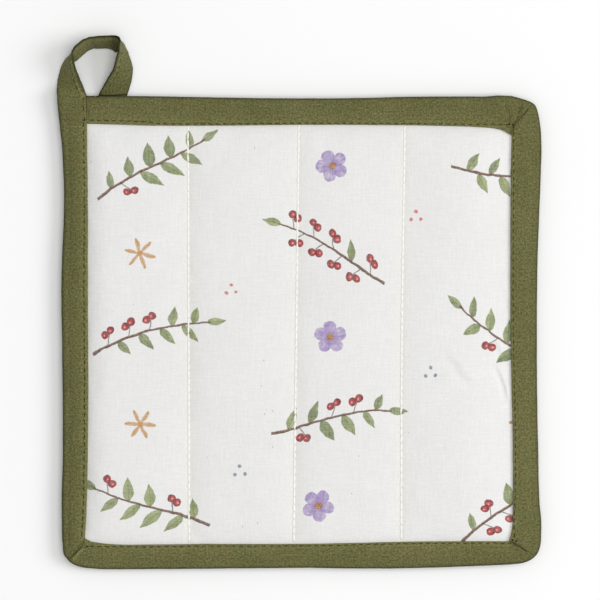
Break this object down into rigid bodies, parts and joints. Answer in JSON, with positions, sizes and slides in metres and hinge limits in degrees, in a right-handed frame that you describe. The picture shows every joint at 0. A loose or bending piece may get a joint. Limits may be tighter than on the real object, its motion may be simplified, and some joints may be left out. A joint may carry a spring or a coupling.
{
  "type": "quilted pot holder with a hanging loop",
  "caption": "Square padded cotton pot holder, quilted in upright channels, with a bound edge that runs on into a hanging loop at one corner",
  "frame": {"origin": "middle of the part's outline on the surface it lies on, under the lowest point of the padding", "axes": "+X to the right and +Y up as the printed front is seen, with the loop at +Y; +Z out of the printed front"},
  "size_m": [0.2033, 0.2234, 0.0124],
  "materials": {
    "printed_cotton": "matte plain weave, printed on the front",
    "olive_cotton": "matte plain weave"
  },
  "bodies": {
    "root": {"quilted_pad": "printed_cotton", "binding": "olive_cotton", "hanging_loop": "olive_cotton"}
  },
  "joints": []
}
